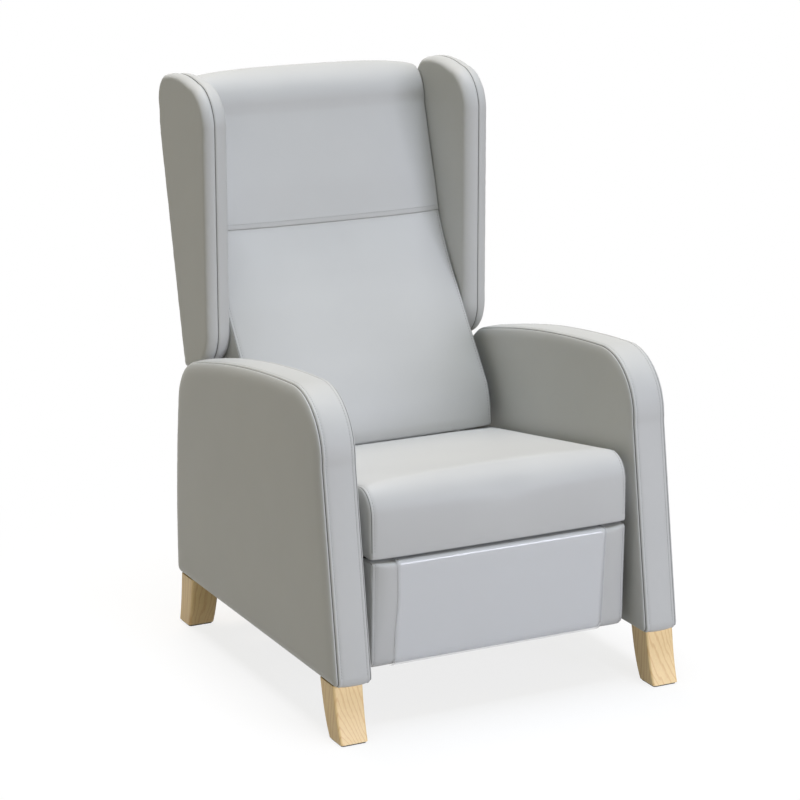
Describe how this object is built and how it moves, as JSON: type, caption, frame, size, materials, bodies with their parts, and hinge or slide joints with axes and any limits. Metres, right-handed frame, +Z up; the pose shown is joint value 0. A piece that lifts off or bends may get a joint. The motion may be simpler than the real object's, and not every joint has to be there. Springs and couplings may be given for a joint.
{
  "type": "recliner",
  "caption": "Winged armchair recliner with padded arms and splayed wooden legs: pushing back slides the seat forward, leans the back and swings out the footrest.",
  "frame": {"origin": "centre of the chair's footprint, on the floor", "axes": "+X towards the sitter's left, +Y towards the rear (the front faces -Y), +Z up"},
  "size_m": [0.72, 0.9376, 1.0975],
  "materials": {
    "upholstery": "smooth light grey coated cloth, soft sheen",
    "frame_wood": "unfinished birch",
    "leg_wood": "clear lacquered pale wood",
    "painted_steel": "black paint, satin",
    "plated_steel": "zinc plated",
    "webbing": "woven elastic",
    "glide_plastic": "moulded, dull black",
    "clear_film": "clear, glossy"
  },
  "bodies": {
    "base": {"arm_band_left": "upholstery", "arm_band_right": "upholstery", "arm_core_left": "frame_wood", "arm_core_right": "frame_wood", "arm_inner_pad_left": "upholstery", "arm_inner_pad_right": "upholstery", "arm_outer_pad_left": "upholstery", "arm_outer_pad_right": "upholstery", "arm_rail_left": "frame_wood", "arm_rail_right": "frame_wood", "base_pins": "plated_steel", "base_plate_bolts": "plated_steel", "base_plate_left": "painted_steel", "base_plate_right": "painted_steel", "cross_rails": "frame_wood", "front_leg_left": "leg_wood", "front_leg_right": "leg_wood", "leg_bolts": "plated_steel", "leg_glides": "glide_plastic", "rear_leg_left": "leg_wood", "rear_leg_right": "leg_wood"},
    "front_swing": {"front_swing_link_left": "painted_steel", "front_swing_link_right": "painted_steel", "front_swing_tube": "painted_steel"},
    "seat": {"seat_cushion": "upholstery", "seat_frame": "frame_wood", "seat_rail_left": "painted_steel", "seat_rail_pins": "plated_steel", "seat_rail_right": "painted_steel", "seat_straps": "webbing"},
    "rear_swing": {"rear_swing_link_left": "painted_steel", "rear_swing_link_right": "painted_steel", "rear_swing_tube": "painted_steel"},
    "back": {"back_bracket_bolts": "plated_steel", "back_bracket_left": "painted_steel", "back_bracket_right": "painted_steel", "back_cover": "upholstery", "back_cushion": "upholstery", "back_frame": "frame_wood", "back_straps": "webbing", "head_cushion": "upholstery", "wing_board_left": "frame_wood", "wing_board_right": "frame_wood", "wing_inner_pad_left": "upholstery", "wing_inner_pad_right": "upholstery", "wing_outer_pad_left": "upholstery", "wing_outer_pad_right": "upholstery"},
    "upper_links": {"footrest_elbow_pins": "plated_steel", "footrest_torque_tube": "painted_steel", "footrest_upper_link_left": "painted_steel", "footrest_upper_link_right": "painted_steel"},
    "lower_links": {"footrest_lower_link_left": "painted_steel", "footrest_lower_link_right": "painted_steel", "footrest_tie_rod": "painted_steel"},
    "footrest": {"footrest_board": "frame_wood", "footrest_bracket_left": "painted_steel", "footrest_bracket_right": "painted_steel", "footrest_film": "clear_film", "footrest_pad": "upholstery", "footrest_pins": "plated_steel"}
  },
  "joints": [
    {"name": "front_swing_pivot", "type": "hinge", "parent": "base", "child": "front_swing", "pos_m": [0, -0.15777, 0.20003], "axis": [1, 0, 0], "range_deg": [0, 40]},
    {"name": "rear_swing_pivot", "type": "hinge", "parent": "base", "child": "rear_swing", "pos_m": [0, 0.09419, 0.20003], "axis": [1, 0, 0], "range_deg": [0, 40]},
    {"name": "seat_pivot", "type": "hinge", "parent": "front_swing", "child": "seat", "pos_m": [0, -0.12698, 0.2846], "axis": [-1, 0, 0], "range_deg": [0, 40]},
    {"name": "back_recline", "type": "hinge", "parent": "seat", "child": "back", "pos_m": [0, 0.17923, 0.33], "axis": [-1, 0, 0], "range_deg": [0, 35]},
    {"name": "footrest_upper_pivot", "type": "hinge", "parent": "seat", "child": "upper_links", "pos_m": [0, -0.33577, 0.285], "axis": [-1, 0, 0], "range_deg": [0, 145]},
    {"name": "footrest_elbow", "type": "hinge", "parent": "upper_links", "child": "lower_links", "pos_m": [0, -0.14783, 0.2166], "axis": [-1, 0, 0], "range_deg": [-110, 0]},
    {"name": "footrest_panel_pivot", "type": "hinge", "parent": "lower_links", "child": "footrest", "pos_m": [0, -0.34479, 0.18187], "axis": [-1, 0, 0], "range_deg": [0, 45]}
  ],
  "couplings": [
    {"joint": "rear_swing_pivot", "follows": "front_swing_pivot", "ratio": 1},
    {"joint": "seat_pivot", "follows": "front_swing_pivot", "ratio": 1},
    {"joint": "back_recline", "follows": "front_swing_pivot", "ratio": 0.875},
    {"joint": "footrest_upper_pivot", "follows": "front_swing_pivot", "ratio": 3.625},
    {"joint": "footrest_elbow", "follows": "front_swing_pivot", "ratio": -2.75},
    {"joint": "footrest_panel_pivot", "follows": "front_swing_pivot", "ratio": 1.125}
  ]
}
